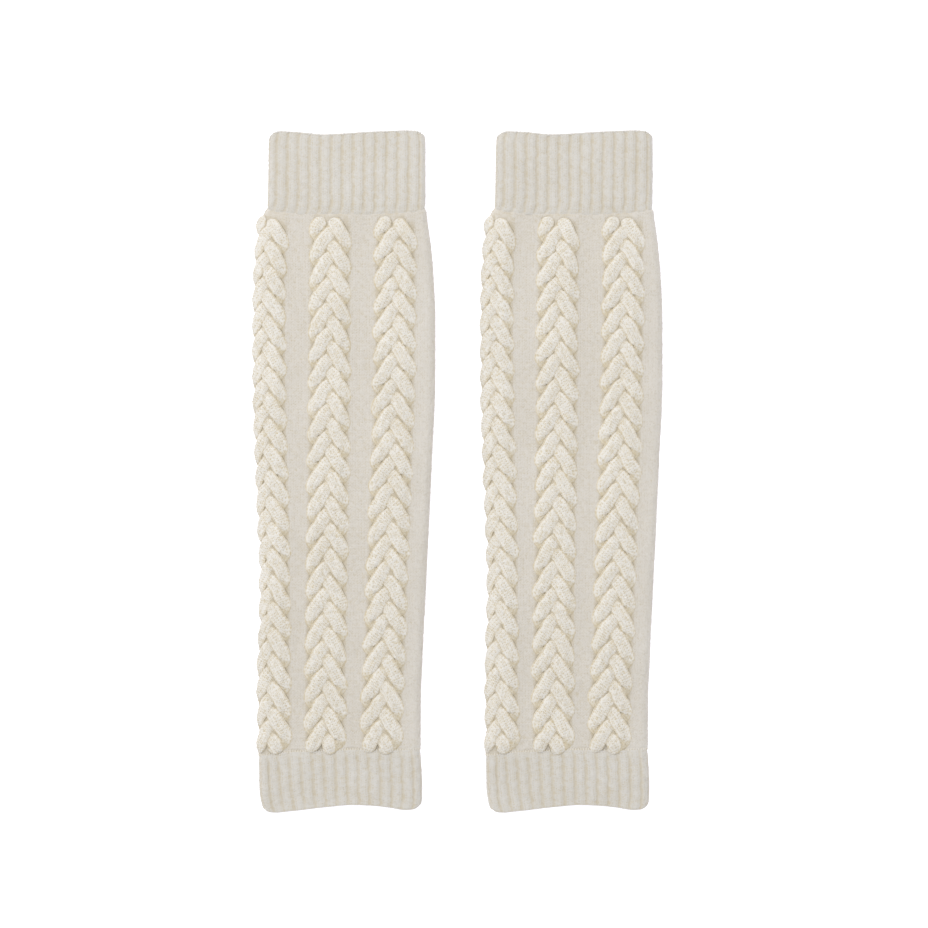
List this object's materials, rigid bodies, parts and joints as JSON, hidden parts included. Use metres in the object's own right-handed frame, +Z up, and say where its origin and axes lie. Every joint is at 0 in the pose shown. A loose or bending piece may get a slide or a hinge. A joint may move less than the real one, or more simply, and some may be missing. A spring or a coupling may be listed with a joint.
{
  "type": "pair of fingerless gloves",
  "caption": "Pair of long cable-knit wool tubes for forearm and palm, laid flat, with plaited fronts and ribbed cuffs that fold over.",
  "frame": {"origin": "centre of the pair's bounding box, on the surface the gloves lie on", "axes": "+X across the pair towards the right glove, +Y along the gloves towards the upper cuffs, +Z up, out of the plaited fronts"},
  "size_m": [0.23, 0.38, 0.0137],
  "materials": {
    "ground_knit": "fine plain-knit cream wool",
    "plait_knit": "cable-knit cream wool, soft and slightly fuzzy",
    "rib_knit": "ribbed cream wool",
    "linking_yarn": "cream wool linking stitches"
  },
  "bodies": {
    "left_tube": {"left_back_panel": "ground_knit", "left_front_panel": "ground_knit", "left_edge_plait": "plait_knit", "left_centre_plait": "plait_knit", "left_band_plait": "plait_knit", "left_edge_seam": "linking_yarn", "left_band_seam": "linking_yarn", "left_upper_linking": "linking_yarn", "left_lower_linking": "linking_yarn"},
    "left_upper_cuff_body": {"left_upper_cuff": "rib_knit", "left_bind_off": "rib_knit"},
    "left_lower_cuff_body": {"left_lower_cuff": "rib_knit", "left_hem_facing": "rib_knit"},
    "right_tube": {"right_back_panel": "ground_knit", "right_front_panel": "ground_knit", "right_edge_plait": "plait_knit", "right_centre_plait": "plait_knit", "right_band_plait": "plait_knit", "right_edge_seam": "linking_yarn", "right_band_seam": "linking_yarn", "right_upper_linking": "linking_yarn", "right_lower_linking": "linking_yarn"},
    "right_upper_cuff_body": {"right_upper_cuff": "rib_knit", "right_bind_off": "rib_knit"},
    "right_lower_cuff_body": {"right_lower_cuff": "rib_knit", "right_hem_facing": "rib_knit"}
  },
  "joints": [
    {"name": "left_upper_cuff_fold", "type": "hinge", "parent": "left_tube", "child": "left_upper_cuff_body", "pos_m": [-0.063, 0.143, 0.0118], "axis": [1, 0, 0], "range_deg": [0, 178]},
    {"name": "left_lower_cuff_fold", "type": "hinge", "parent": "left_tube", "child": "left_lower_cuff_body", "pos_m": [-0.063, -0.156, 0.0118], "axis": [-1, 0, 0], "range_deg": [0, 178]},
    {"name": "pair_slide", "type": "slide", "parent": "left_tube", "child": "right_tube", "axis": [1, 0, 0], "range_m": [0, 0.1]},
    {"name": "right_upper_cuff_fold", "type": "hinge", "parent": "right_tube", "child": "right_upper_cuff_body", "pos_m": [0.063, 0.143, 0.0118], "axis": [1, 0, 0], "range_deg": [0, 178]},
    {"name": "right_lower_cuff_fold", "type": "hinge", "parent": "right_tube", "child": "right_lower_cuff_body", "pos_m": [0.063, -0.156, 0.0118], "axis": [-1, 0, 0], "range_deg": [0, 178]}
  ]
}
